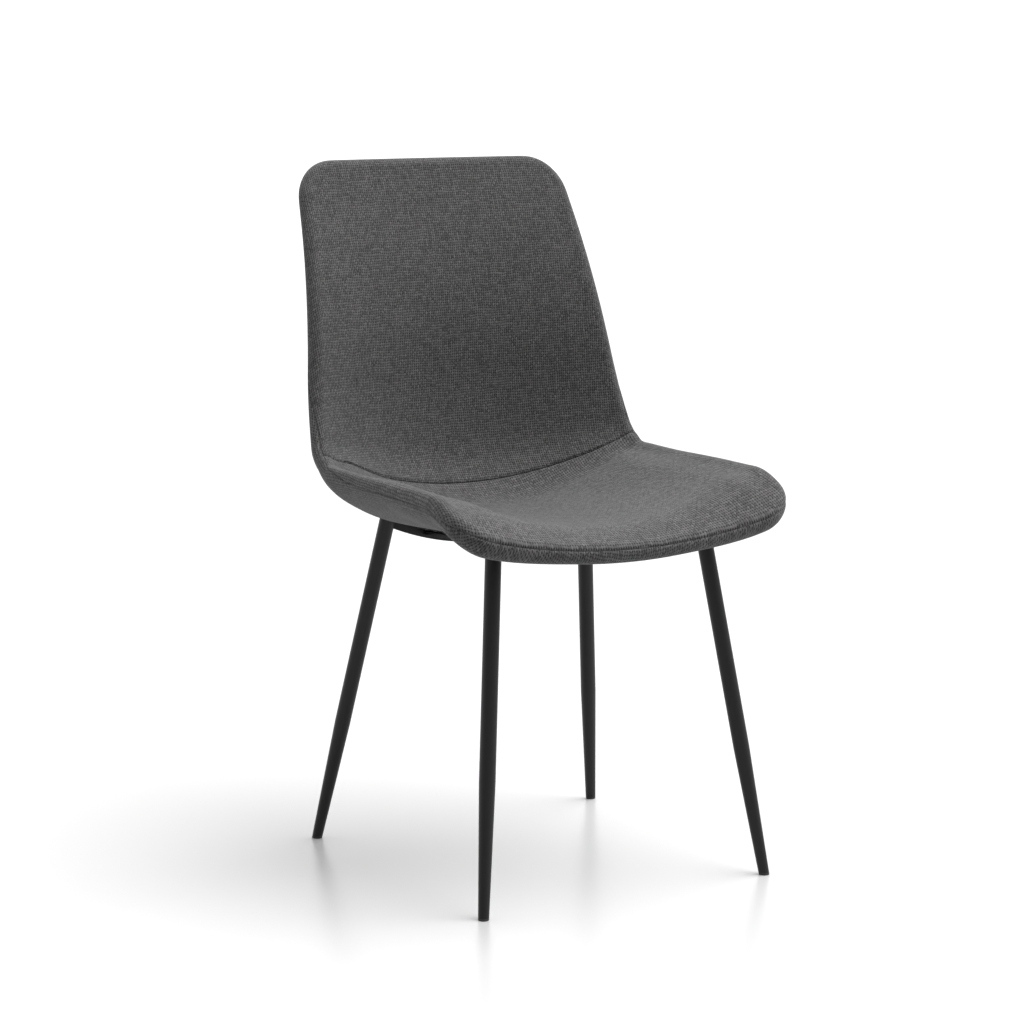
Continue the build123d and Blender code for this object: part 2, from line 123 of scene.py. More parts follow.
CREASE_ROLL, CREASE_ROLL_WIDTH = 1.0, 8.0
CREASE_SEARCH = (380.0, 480.0)                    # stations between which it meets the rim
CREASE_SPREAD = 160.0                             # rows this near bend along with it

# How far the corners of the tables above are rounded off.
PATH_BLEND = 0.05
RIM_BLEND = 22.0
FLANK_BLEND = 30.0
SEAM_BLEND = (2.0, 20.0)

# Spacing of the yarns across and along; the seat's cloth is stretched most.
SEAT_YARN = (3.5, 4.6)
BACK_YARN = (3.0, 3.4)
OUTER_YARN = (3.4, 4.0)
SEAT_ANCHOR, BACK_ANCHOR = 150.0, 620.0           # stations where the yarns lie straight
WEAVE_COLUMN = 10.0                               # spacing of the table of cloth lengths
WEAVE_REACH = 251.0

# Topstitch on the back pad, beside the crease.
STITCH_LENGTH, STITCH_PITCH = 4.0, 5.6
STITCH_GAP = 4.6                                  # from the crease to the stitches
STITCH_REACH = 0.57                               # section angle where the row ends
STITCH_CROWN, STITCH_DIP = 0.12, 4.0
STITCH_SAMPLES, STITCH_POINTS = 900, 7
THREAD_RADIUS = 0.5

# Dust cover under the seat: a flat cloth with rounded corners, folded hem and staples.
DUST_WIDTH, DUST_LENGTH, DUST_CORNER = 239.0, 312.0, 30.0
DUST_THICKNESS = 0.5
DUST_LIFT = 0.25                                  # clear of the outer pad
HEM_WIDTH, HEM_RISE = 9.0, 0.45
HEM_SLOPE = 1.6                                   # width of the step beside the hem
HEM_SHARES = (0.0, 0.067, 0.075, 0.084)           # columns beside the hem
DUST_CORNER_ROWS, DUST_ROWS, DUST_COLUMNS = 9, 44, 15
LOOSE_FROM_EDGE = 25.0                            # the cloth is loose inside of this
STAPLE_INSET, STAPLE_PITCH, STAPLE_LENGTH = 5.0, 23.0, 9.0
STAPLE_RADIUS = 0.45
STAPLE_SHAPE = (                                  # (share of the length, height)
    (-0.5, -1.2), (-0.49, -0.1), (-0.45, 0.2), (-0.2, 0.25), (0.2, 0.25),
    (0.45, 0.2), (0.49, -0.1), (0.5, -1.2),
)
WIRE_SIDES = 6

# Mesh density.
ACROSS = 56
ROW_SPACING = 7.6
CREASE_ROWS = (1.3, 2.9, 5.0, 8.0, 12.0, 17.5)
RIM_SHARES = (0.0, 0.05, 0.11, 0.19, 0.3, 0.44, 0.61, 0.8, 1.0)
RIM_STEP = 2.0                                    # between points of the rim line
PROFILE_STEP = 0.5
PROFILE_RANGE = (-60.0, 915.0)                    # stations, past both edges


# ------------------------------ shell geometry
def smooth(share):
    share = np.clip(share, 0.0, 1.0)
    return share * share * (3.0 - 2.0 * share)


def rounded(table, value, reach):
    """Value of a (place, value) table with its corners rounded off over reach."""
    places, values = zip(*table)
    shifts = np.linspace(-1.0, 1.0, 9)
    weights = 1.0 - shifts**2 + 0.05
    total = 0
    for shift, weight in zip(shifts, weights):
        total = total + weight * np.interp(value + reach * shift, places, values)
    return total / weights.sum()


def make_profile():
    """Tables along the centre profile: station, y, z, heading, depth of the dish."""
    step = PROFILE_STEP
    station = np.arange(*PROFILE_RANGE, step)
    ends = np.cumsum([0.0] + [length for length, _ in PROFILE_RUNS])
    headings = [PROFILE_START[2]] + [heading for _, heading in PROFILE_RUNS]
    middle = np.radians(np.interp(station[:-1] + step / 2, ends, headings))
    y = np.concatenate([[0.0], np.cumsum(np.cos(middle) * step)])
    z = np.concatenate([[0.0], np.cumsum(np.sin(middle) * step)])
    y += PROFILE_START[0] - np.interp(0.0, station, y)
    z += PROFILE_START[1] - np.interp(0.0, station, z)
    heading = np.radians(np.interp(station, ends, headings))
    knots, depths = zip(*DISH)
    depth = np.interp(station, knots, depths)
    window = np.hanning(int(DISH_BLEND / step) + 1)
    padded = np.pad(depth, len(window) // 2, mode="edge")
    depth = np.convolve(padded, window / window.sum(), mode="valid")[: len(station)]
    return station, y, z, heading, depth


PROFILE = make_profile()


def along(station, row):
    return np.interp(station, PROFILE[0], PROFILE[row])


def dish_radius(station):
    depth = along(station, 4)
    return (DISH_HALF_WIDTH**2 + depth**2) / (2.0 * depth)


def shell_point(station, angle, height=0.0):
    """Point on the section arc at a station, height towards the sitter."""
    radius = dish_radius(station)
    heading = along(station, 3)
    rise = radius - (radius - height) * np.cos(angle)
    x = (radius - height) * np.sin(angle)
    y = along(station, 1) - rise * np.sin(heading)
    z = along(station, 2) + rise * np.cos(heading)
    return np.stack(np.broadcast_arrays(x, y, z), -1)


def unit(vectors):
    return vectors / np.linalg.norm(vectors, axis=-1, keepdims=True)


def shell_tangents(station, angle):
    """Change of the mid surface per unit of station and of section angle."""
    by_station = (shell_point(station + 1.0, angle) - shell_point(station - 1.0, angle)) / 2.0
    by_angle = (shell_point(station, angle + 1e-3) - shell_point(station, angle - 1e-3)) / 2e-3
    return by_station, by_angle


def shell_normal(station, angle):
    by_station, by_angle = shell_tangents(station, angle)
    return unit(np.cross(by_angle, by_station))


def solve_on_shell(target, axes, guess):
    """Station and angle whose mid surface point has the target values on two axes."""
    place = np.array(guess, float)
    for _ in range(30):
        miss = shell_point(*place)[axes] - target
        if np.abs(miss).max() < 1e-6:
            break
        tangents = np.stack([t[axes] for t in shell_tangents(*place)], 1)
        place += np.clip(np.linalg.solve(tangents, -miss), (-25.0, -0.1), (25.0, 0.1))
    return place


def half_rim_line():
    """The rim's centre line on the left half, in three stretches of (station, angle).

    Front edge from the middle to the corner's middle, side, top edge to the middle.
    """
    step = RIM_STEP
    plan, face = [0, 1], [0, 2]
    radius = FRONT_CORNER - RIM_RADIUS
    corner = (SEAT_HALF_WIDTH - FRONT_CORNER, FRONT_Y + FRONT_CORNER)
    front = [solve_on_shell((0.0, FRONT_Y + RIM_RADIUS), plan, (0.0, 0.0))]
    for x in np.arange(step, corner[0], step):
        front.append(solve_on_shell((x, FRONT_Y + RIM_RADIUS), plan, front[-1]))
    turn = []
    for angle in np.linspace(0.0, pi / 2, CORNER_POINTS):
        target = (corner[0] + radius * sin(angle), corner[1] - radius * cos(angle))
        turn.append(solve_on_shell(target, plan, (turn or front)[-1]))
    half = CORNER_POINTS // 2
    front += turn[: half + 1]
    side = turn[half:]

    run = np.array([TOP_HALF_WIDTH - SEAT_HALF_WIDTH, TOP_Z - SIDE_BREAK_Z])
    outward = np.array([run[1], -run[0]]) / np.linalg.norm(run)
    centre_z = TOP_Z - TOP_CORNER
    on_side = SEAT_HALF_WIDTH + run[0] / run[1] * (centre_z - SIDE_BREAK_Z)
    centre = np.array([on_side - TOP_CORNER / outward[0], centre_z])
    radius = TOP_CORNER - RIM_RADIUS
    tangent_point = centre + radius * outward
    end = solve_on_shell(tangent_point, face, TOP_CORNER_GUESS)
    for station in np.arange(side[-1][0] + step, end[0], step):
        angle = side[-1][1]
        for _ in range(40):
            above = max(0.0, shell_point(station, angle)[2] - SIDE_BREAK_Z)
            inset = RIM_RADIUS / (outward[0] if above else 1.0)
            reach = SEAT_HALF_WIDTH + run[0] / run[1] * above - inset
            angle = asin(reach / dish_radius(station))
        side.append(np.array([station, angle]))
    turn = []
    start_angle = np.arctan2(outward[1], outward[0])
    for angle in np.linspace(start_angle, pi / 2, CORNER_POINTS):
        target = centre + radius * np.array([cos(angle), sin(angle)])
        turn.append(solve_on_shell(target, face, (turn or [end])[-1]))
    side += turn[: half + 1]
    top = turn[half:]
    for x in np.arange(centre[0] - step, 0.0, -step):
        top.append(solve_on_shell((x, TOP_Z - RIM_RADIUS), face, top[-1]))
    top.append(solve_on_shell((0.0, TOP_Z - RIM_RADIUS), face, top[-1]))
    return [np.array(stretch) for stretch in (front, side, top)]


def run_lengths(line):
    """Length along a line up to each of its points."""
    gaps = np.linalg.norm(np.diff(line, axis=0), axis=1)
    return np.concatenate([[0.0], np.cumsum(gaps)])


def even(points, count):
    """count + 1 points at equal distances along a line of (station, angle) pairs."""
    length = run_lengths(shell_point(points[:, 0], points[:, 1]))
    wanted = np.linspace(0.0, length[-1], count + 1)
    return np.stack([np.interp(wanted, length, points[:, axis]) for axis in (0, 1)], 1)


def crease_station(angle):
    """Station of the crease seam; it hooks up where it climbs the sides."""
    return rounded(CREASE_PATH, angle, PATH_BLEND)


def walk_inward(line, inward, offsets):
    """(station, angle) lines at the given distances inside a line on the shell."""
    place = line.copy()
    direction = inward.copy()
    lines = []
    walked = 0.0
    for offset in offsets:
        count = max(1, int(round(offset - walked)))
        for _ in range(count):
            step = (offset - walked) / count
            by_station, by_angle = shell_tangents(place[:, 0], place[:, 1])
            normal = unit(np.cross(by_angle, by_station))
            across = (direction * normal).sum(1, keepdims=True)
            direction = unit(direction - across * normal)
            ss = (by_station**2).sum(1)
            aa = (by_angle**2).sum(1)
            sa = (by_station * by_angle).sum(1)
            ds = (direction * by_station).sum(1)
            da = (direction * by_angle).sum(1)
            determinant = ss * aa - sa * sa
            place[:, 0] += step * (ds * aa - da * sa) / determinant
            place[:, 1] += step * (da * ss - ds * sa) / determinant
        walked = offset
        lines.append(place.copy())
    return lines


def rim_frames(line):
    """Centre points, outward directions and normals along the closed rim line."""
    centre = shell_point(line[:, 0], line[:, 1])
    normal = shell_normal(line[:, 0], line[:, 1])
    tangent = unit(np.roll(centre, -1, axis=0) - np.roll(centre, 1, axis=0))
    outward = unit(np.cross(tangent, normal))
    return centre, outward, normal


def side_stations(side, crease_rim):
    """Stations of the rows along a side, close together at the crease."""
    low, high = side[0, 0], side[-1, 0]
    below = [crease_rim - gap for gap in CREASE_ROWS]
    above = [crease_rim + gap for gap in CREASE_ROWS]
    count = int(round((below[-1] - low) / ROW_SPACING))
    start = np.linspace(low, below[-1], count + 1)[:-1]
    count_above = int(round((high - above[-1]) / ROW_SPACING))
    end = np.linspace(above[-1], high, count_above + 1)[1:]
    rows = np.concatenate([start, below[::-1], [crease_rim], above, end])
    return rows, len(start) + len(below)


class Grid:
    """The pads' shared layout: rings inside the rim line, and rows inside those."""

    def __init__(self):
        front, side, top = half_rim_line()
        crease_rim = self.crease_at_rim(side)
        rows, self.crease_row = side_stations(side, crease_rim)
        sides = np.stack([rows, np.interp(rows, side[:, 0], side[:, 1])], 1)
        mirror = np.array([1.0, -1.0])
        whole_front = np.concatenate([front[::-1] * mirror, front[1:]])
        whole_top = np.concatenate([top, top[::-1][1:] * mirror])
        self.rows = len(rows) - 1
        front_line = even(whole_front, ACROSS)
        top_line = even(whole_top, ACROSS)
        self.line = np.concatenate(
            [front_line[:-1], sides[:-1], top_line[:-1], (sides * mirror)[::-1][:-1]]
        )
        self.centre, self.outward, self.normal = rim_frames(self.line)
        self.rings = walk_inward(self.line, -self.outward, RING_OFFSETS)
        self.inside = self.fill(self.rings[-1])
        self.left_crease = ACROSS + self.crease_row
        self.right_crease = 2 * ACROSS + 2 * self.rows - self.crease_row

    @staticmethod
    def crease_at_rim(side):
        """Station on the rim line from which the inward walk ends on the crease."""
        low, high = CREASE_SEARCH
        line = side[(side[:, 0] > low) & (side[:, 0] < high)]
        centre = shell_point(line[:, 0], line[:, 1])
        normal = shell_normal(line[:, 0], line[:, 1])
        outward = unit(np.cross(np.gradient(centre, axis=0), normal))
        inner = walk_inward(line, -outward, RING_OFFSETS)[-1]
        miss = inner[:, 0] - crease_station(inner[:, 1])
        return float(np.interp(0.0, miss, line[:, 0]))

    def fill(self, ring):
        """Rows and columns inside the innermost ring, one row on the crease."""
        n, m = ACROSS, self.rows
        front = ring[: n + 1]
        left = ring[n : n + m + 1]
        top = ring[n + m : 2 * n + m + 1][::-1]
        right = np.concatenate([ring[2 * n + m :], ring[:1]])[::-1]
        u = np.linspace(0.0, 1.0, n + 1)[None, :, None]
        v = ((left[:, 0] - left[0, 0]) / (left[-1, 0] - left[0, 0]))[:, None, None]
        blend = (1 - v) * front[None] + v * top[None]
        blend = blend + (1 - u) * right[:, None] + u * left[:, None]
        corners = (1 - v) * ((1 - u) * front[0] + u * front[-1])
        corners = corners + v * ((1 - u) * top[0] + u * top[-1])
        place = blend - corners
        row = place[self.crease_row]
        shift = crease_station(row[:, 1]) - row[:, 0]
        row_station = v[:, :, 0] * (left[-1, 0] - left[0, 0]) + left[0, 0]
        away = np.abs(row_station - crease_station(0.0))
        place[:, :, 0] += shift[None, :] * (1 - smooth(away / CREASE_SPREAD))
        return place

    def quads(self, ring_rows):
        """Faces over ring_rows rings of vertices and the inside, with their pad."""
        loop = len(self.line)
        base = (ring_rows - 1) * loop
        inner = np.zeros((self.rows + 1, ACROSS + 1), int)
        n, m = ACROSS, self.rows
        inner[0, :] = base + np.arange(n + 1)
        inner[:, n] = base + n + np.arange(m + 1)
        inner[m, :] = base + n + m + np.arange(n + 1)[::-1]
        inner[1:, 0] = base + (2 * n + m + np.arange(m)[::-1])
        inner[0, 0] = base
        extra = ring_rows * loop
        inner[1:m, 1:n] = extra + np.arange((m - 1) * (n - 1)).reshape(m - 1, n - 1)
        faces, is_seat = [], []
        for i in range(loop):
            j = (i + 1) % loop
            seat = i < self.left_crease or i >= self.right_crease
            for k in range(ring_rows - 1):
                low, high = k * loop, (k + 1) * loop
                faces.append((low + i, low + j, high + j, high + i))
                is_seat.append(seat)
        for k in range(m):
            for i in range(n):
                faces.append((inner[k, i], inner[k, i + 1], inner[k + 1, i + 1], inner[k + 1, i]))
                is_seat.append(k < self.crease_row)
        return np.array(faces), np.array(is_seat), inner

    def stack(self, ring_values, inside):
        """Ring values and inside values in the order that quads() counts them."""
        inner = inside[1:-1, 1:-1]
        return np.concatenate([*ring_values, inner.reshape(-1, inside.shape[-1])])


grid = Grid()


# ------------------------------ weave coordinates
def make_weave_table(anchor, height, pitch):
    """Length of the cloth along the profile at each station and distance from the middle."""
    station = PROFILE[0]
    sides = np.arange(0.0, WEAVE_REACH, WEAVE_COLUMN)
    turn = np.gradient(PROFILE[3], station)
    radius = dish_radius(station)
    table = []
    for x in sides:
        angle = np.arcsin(np.clip(x / radius, 0.0, 0.99))
        rise = radius - (radius - height) * np.cos(angle)
        stretch = np.maximum(0.15, 1.0 - turn * rise)
        length = np.concatenate([[0.0], np.cumsum(stretch[:-1] * np.diff(station))])
        table.append(length - np.interp(anchor, station, length) + anchor)
    return sides, np.array(table), np.array(pitch)


def weave_place(station, angle, table):
    """Place on the flat cloth, across and along, in millimetres."""
    sides, lengths, _ = table
    radius = dish_radius(station)
    x = np.abs(radius * np.sin(angle))
    column = np.clip(x / WEAVE_COLUMN, 0, len(sides) - 1.001)
    low = column.astype(int)
    share = column - low
    row = (station - PROFILE[0][0]) / PROFILE_STEP
    base = np.clip(row.astype(int), 0, lengths.shape[1] - 2)
    part = row - base
    value = 0.0
    for c, wc in ((low, 1 - share), (low + 1, share)):
        for r, wr in ((base, 1 - part), (base + 1, part)):
            value = value + lengths[c, r] * wc * wr
    return np.stack([radius * angle, value], -1)


# ------------------------------ pad surfaces
def face_height(station):
    low, high = FACE_CHANGE
    return SEAT_FACE + (BACK_FACE - SEAT_FACE) * smooth((station - low) / (high - low))


def rim_rise(station):
    """Half height of the rim on the sitter's side."""
    return rounded(RIM_TOPS, station, RIM_BLEND)


def low_rise(station, angle, inward):
    """Thickness below the mid surface at a distance inward from the outline."""
    stations, lows, highs = zip(*FLANK_SIDES)
    low, high = np.interp(station, stations, lows), np.interp(station, stations, highs)
    on_flank = smooth((np.abs(angle) - low) / (high - low))
    full = face_height(station) + rounded(FLANK_EXTRA, station, FLANK_BLEND) * on_flank
    share = np.clip(inward / rounded(FLANK_REACH, station, FLANK_BLEND), 0.0, 1.0)
    return full * np.sqrt(1.0 - (1.0 - share) ** 2)


def rim_place(station, section_angle, around):
    """Outward and upward reach of the rim at an angle around it."""
    out = RIM_RADIUS * np.cos(around)
    up = rim_rise(station) * np.sin(around)
    down = -low_rise(station, section_angle, RIM_RADIUS - out)
    return out, np.where(around > 0, up, down)


def seam_angle(station):
    reach = np.clip(station / 3.0, *SEAM_BLEND)
    return np.radians(rounded(SEAM_ANGLES, station, reach))


def distance_from_rim(points):
    """Distance and index of the nearest point of the rim's centre line."""
    flat = points.reshape(-1, 3)
    nearest = np.zeros(len(flat), int)
    distance = np.zeros(len(flat))
    size = 2000
    for start in range(0, len(flat), size):
        block = slice(start, start + size)
        gaps = np.linalg.norm(flat[block][:, None] - grid.centre[None], axis=2)
        nearest[block] = gaps.argmin(1)
        distance[block] = gaps.min(1)
    return distance.reshape(points.shape[:-1]), nearest.reshape(points.shape[:-1])


def sitter_rise(station, base):
    """Height of the upholstery on the sitter's side over points inside the rim."""
    distance, nearest = distance_from_rim(base)
    low = rim_rise(grid.line[:, 0])[nearest]
    return low + (face_height(station) - low) * smooth(distance / RIM_RISE)


def pad_surface(side, table):
    """Outside of the upholstery on one side (1 sitter's, -1 rear and underside).

    Returns stacked positions, outward normals and weave places, without seams at
    the crease, and the number of ring rows.
    """
    station, section = grid.line.T
    height = rim_rise(station)
    start = seam_angle(station)
    positions, normals, places = [], [], []
    by_station, by_angle = shell_tangents(station, section)
    by_station, by_angle = unit(by_station), unit(by_angle)
    edge = weave_place(station, section, table)
    cloth_out = np.stack(
        [(grid.outward * by_angle).sum(1), (grid.outward * by_station).sum(1)], 1
    )
    for share in RIM_SHARES:
        angle = start + (side * pi / 2 - start) * share
        out, up = rim_place(station, section, angle)
        from_seam = np.abs(angle - start) * RIM_RADIUS
        pull = SEAM_DEPTH * np.exp(-((from_seam / SEAM_WIDTH) ** 2))
        shrink = 1.0 - pull / RIM_RADIUS
        reach, lift = (out * shrink)[:, None], (up * shrink)[:, None]
        positions.append(grid.centre + reach * grid.outward + lift * grid.normal)
        turned = np.cos(angle)[:, None] * grid.outward + np.sin(angle)[:, None] * grid.normal
        normals.append(unit(turned))
        arc = (side * pi / 2 - angle) * side * RIM_RADIUS
        places.append(edge + cloth_out * arc[:, None])
    for ring, offset in zip(grid.rings, RING_OFFSETS):
        if side > 0:
            rise = height + (face_height(ring[:, 0]) - height) * smooth(offset / RIM_RISE)
        else:
            rise = low_rise(ring[:, 0], ring[:, 1], RIM_RADIUS + offset)
        normal = shell_normal(ring[:, 0], ring[:, 1])
        positions.append(shell_point(ring[:, 0], ring[:, 1]) + side * rise[:, None] * normal)
        normals.append(side * normal)
        places.append(weave_place(ring[:, 0], ring[:, 1], table))
    station, angle = grid.inside[..., 0], grid.inside[..., 1]
    base = shell_point(station, angle)
    normal = shell_normal(station, angle)
    if side > 0:
        rise = sitter_rise(station, base)
    else:
        rise = low_rise(station, angle, RIM_RADIUS + distance_from_rim(base)[0])
    inside = base + side * rise[..., None] * normal
    rows = len(RIM_SHARES) + len(RING_OFFSETS)
    return (
        grid.stack(positions, inside),
        grid.stack(normals, side * normal),
        grid.stack(places, weave_place(station, angle, table)) / table[2],
        rows,
    )


def inner_surface(side):
    """Inner face of a pad, with the same layout as its outside."""
    station = grid.line[:, 0]
    start = seam_angle(station)
    depth = RIM_RADIUS - SEAM_DEPTH - SEAM_ALLOWANCE
    height = PLY_TOP if side > 0 else PLY_LOW
    corner = np.tile((LINING_INSET, PLY_TOP), (len(station), 1))
    seam = np.stack(rim_place(station, grid.line[:, 1], start), 1) * depth / RIM_RADIUS
    positions = []
    for share in np.linspace(0.0, 1.0, len(RIM_SHARES)):
        if side > 0:
            place = seam + (corner - seam) * share
        else:
            first = np.clip(share * 2.0, 0.0, 1.0)
            second = np.clip(share * 2.0 - 1.0, 0.0, 1.0)
            place = seam + (corner - seam) * first
            place[:, 1] += (height - PLY_TOP) * second
        positions.append(
            grid.centre + place[:, :1] * grid.outward + place[:, 1:] * grid.normal
        )
    for ring in grid.rings:
        normal = shell_normal(ring[:, 0], ring[:, 1])
        positions.append(shell_point(ring[:, 0], ring[:, 1]) + height * normal)
    station, angle = grid.inside[..., 0], grid.inside[..., 1]
    inside = shell_point(station, angle) + height * shell_normal(station, angle)
    return grid.stack(positions, inside)


def crease_distance(points, rows, inner):
    """Distance of each vertex from the crease in its own ring or column."""
    loop = len(grid.line)
    distance = np.full(len(points), 1e3)
    for k in range(rows):
        ring = points[k * loop : (k + 1) * loop]
        for column in (grid.left_crease, grid.right_crease):
            gap = np.linalg.norm(ring - ring[column], axis=1)
            part = distance[k * loop : (k + 1) * loop]
            np.minimum(part, gap, out=part)
    crease = points[inner[grid.crease_row]]
    gaps = np.linalg.norm(points[inner] - crease[None], axis=2)
    distance[inner.ravel()] = np.minimum(distance[inner.ravel()], gaps.ravel())
    return distance


def mesh_piece(name, vertices, faces, weave=None):
    """A new piece from vertices in millimetres, with its places on the flat cloth."""
    mesh = bpy.data.meshes.new(name)
    corners = [list(map(int, face)) for face in faces]
    mesh.from_pydata((np.asarray(vertices) / MM).tolist(), [], corners)
    if weave is not None:
        layer = mesh.attributes.new("weave", "FLOAT_VECTOR", "POINT")
        flat = np.zeros((len(vertices), 3), np.float32)
        flat[:, :2] = weave
        layer.data.foreach_set("vector", flat.ravel())
    mesh.validate()
    for polygon in mesh.polygons:
        polygon.use_smooth = True
    piece = bpy.data.objects.new(name, mesh)
    bpy.context.scene.collection.objects.link(piece)
    return piece


def closed_pad(name, outside, inside, faces, weave):
    """A closed pad from its outside, its inner face and the walls between them."""
    used = np.unique(faces)
    number = np.full(len(outside), -1)
    number[used] = np.arange(len(used))
    count = len(used)
    outer_faces = number[faces]
    inner_faces = outer_faces[:, ::-1] + count
    edges = {}
    for face in outer_faces:
        for a, b in zip(face, np.roll(face, -1)):
            edges[(a, b)] = True
    walls = [(b, a, a + count, b + count) for a, b in edges if (b, a) not in edges]
    vertices = np.concatenate([outside[used], inside[used]])
    places = np.concatenate([weave[used], weave[used]])
    piece = mesh_piece(name, vertices, [*outer_faces, *inner_faces, *walls], places)
    subdivide(piece, 2)
    return piece


def subdivide(piece, levels):
    modifier = piece.modifiers.new("smooth", "SUBSURF")
    modifier.levels = modifier.render_levels = levels
    modifier.boundary_smooth = "PRESERVE_CORNERS"


def make_pads():
    """The seat, back and outer pads."""
    seat_cloth = make_weave_table(SEAT_ANCHOR, SEAT_FACE, SEAT_YARN)
    back_cloth = make_weave_table(BACK_ANCHOR, BACK_FACE, BACK_YARN)
    outer_cloth = make_weave_table(BACK_ANCHOR, -BACK_FACE, OUTER_YARN)
    outside, normals, seat_weave, rows = pad_surface(1, seat_cloth)
    _, _, back_weave, _ = pad_surface(1, back_cloth)
    faces, is_seat, inner = grid.quads(rows)
    distance = crease_distance(outside, rows, inner)
    groove = CREASE_DEPTH * np.exp(-((distance / CREASE_WIDTH) ** 2))
    groove += CREASE_ROLL * np.exp(-((distance / CREASE_ROLL_WIDTH) ** 2))
    outside = outside - normals * groove[:, None]
    lining = inner_surface(1)
    pads = {}
    pads["seat"] = closed_pad("seat_pad", outside, lining, faces[is_seat], seat_weave)
    pads["back"] = closed_pad("back_pad", outside, lining, faces[~is_seat], back_weave)
    outside, normals, weave, rows = pad_surface(-1, outer_cloth)
    faces, _, _ = grid.quads(rows)
    pads["outer"] = closed_pad("outer_pad", outside, inner_surface(-1), faces[:, ::-1], weave)
    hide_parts("seat_cover", "seat_foam")
    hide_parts("back_cover", "back_foam")
    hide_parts("outer_cover", "outer_wadding", "edge_foam")
    for pad in pads.values():
        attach(pad, "root")
    return pads


pads = make_pads()


# ------------------------------ stitches and dust cover
def short_wires(name, paths, radius):
    """One piece from many short round wires, each a line of points."""
    sides = WIRE_SIDES
    turn = np.linspace(0.0, 2 * pi, sides, endpoint=False)
    circle = np.stack([np.cos(turn), np.sin(turn)], 1) * radius
    vertices, faces = [], []
    for path in paths:
        forward = unit(np.gradient(path, axis=0))
        across = unit(np.cross(forward, unit(path.mean(0) - path[0] + [1e-4, 0.0, 1.0])))
        upward = np.cross(across, forward)
        base = len(vertices)
        for point, axes in zip(path, np.stack([across, upward], 1)):
            vertices += list(point + circle @ axes)
        for k in range(len(path) - 1):
            low, high = base + k * sides, base + (k + 1) * sides
            for i in range(sides):
                j = (i + 1) % sides
                faces.append((low + i, low + j, high + j, high + i))
        faces.append(tuple(base + i for i in range(sides))[::-1])
        faces.append(tuple(base + (len(path) - 1) * sides + i for i in range(sides)))
    return mesh_piece(name, vertices, faces)


def make_stitches():
    """A row of stitches sunk into the back pad just above the crease."""
    angles = np.linspace(-STITCH_REACH, STITCH_REACH, STITCH_SAMPLES)
    station = crease_station(angles) + STITCH_GAP
    base = shell_point(station, angles)
    normal = shell_normal(station, angles)
    roll = CREASE_ROLL * np.exp(-((STITCH_GAP / CREASE_ROLL_WIDTH) ** 2))
    line = base + (sitter_rise(station, base) - roll)[:, None] * normal
    length = run_lengths(line)
    share = np.linspace(-0.5, 0.5, STITCH_POINTS)
    paths = []
    for middle in np.arange(STITCH_PITCH, length[-1] - STITCH_PITCH, STITCH_PITCH):
        wanted = middle + STITCH_LENGTH * share
        point = np.stack([np.interp(wanted, length, line[:, axis]) for axis in range(3)], 1)
        out = np.stack([np.interp(wanted, length, normal[:, axis]) for axis in range(3)], 1)
        paths.append(point + (STITCH_CROWN - STITCH_DIP * share[:, None] ** 2) * out)
    stitches = short_wires("crease_stitches", paths, THREAD_RADIUS)
    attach(stitches, "root")
    return stitches


DUST_START = float(np.interp(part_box("dust_cover")[0][1] * MM, PROFILE[1], PROFILE[0]))


def dust_edge_distance(across, length):
    """Distance inward from the dust cover's outline, on the flat cloth."""
    x = np.abs(across) - (DUST_WIDTH / 2 - DUST_CORNER)
    y = np.abs(length - DUST_LENGTH / 2) - (DUST_LENGTH / 2 - DUST_CORNER)
    outside = np.hypot(np.maximum(x, 0.0), np.maximum(y, 0.0))
    return DUST_CORNER - outside - np.minimum(np.maximum(x, y), 0.0)


def dust_point(across, length, height):
    """Point of the dust cover from its place on the flat cloth."""
    station = DUST_START + length
    angle = across / (dish_radius(station) + SEAT_FACE)
    depth = low_rise(station, angle, DUST_WIDTH) + height
    return shell_point(station, angle) - depth[..., None] * shell_normal(station, angle)


def dust_height(across, length):
    """Height of the cloth's outer face over the pad, with its hem and slight puckers."""
    edge = dust_edge_distance(across, length)
    hem = HEM_RISE * (1.0 - smooth((edge - HEM_WIDTH + 1.0) / HEM_SLOPE))
    puckers = 0.5 + 0.25 * np.sin(across / 9.0 + length / 31.0) + 0.25 * np.sin(length / 11.0)
    loose = smooth(edge / LOOSE_FROM_EDGE) * (0.25 + 0.35 * puckers)
    return DUST_LIFT + DUST_THICKNESS + hem + loose


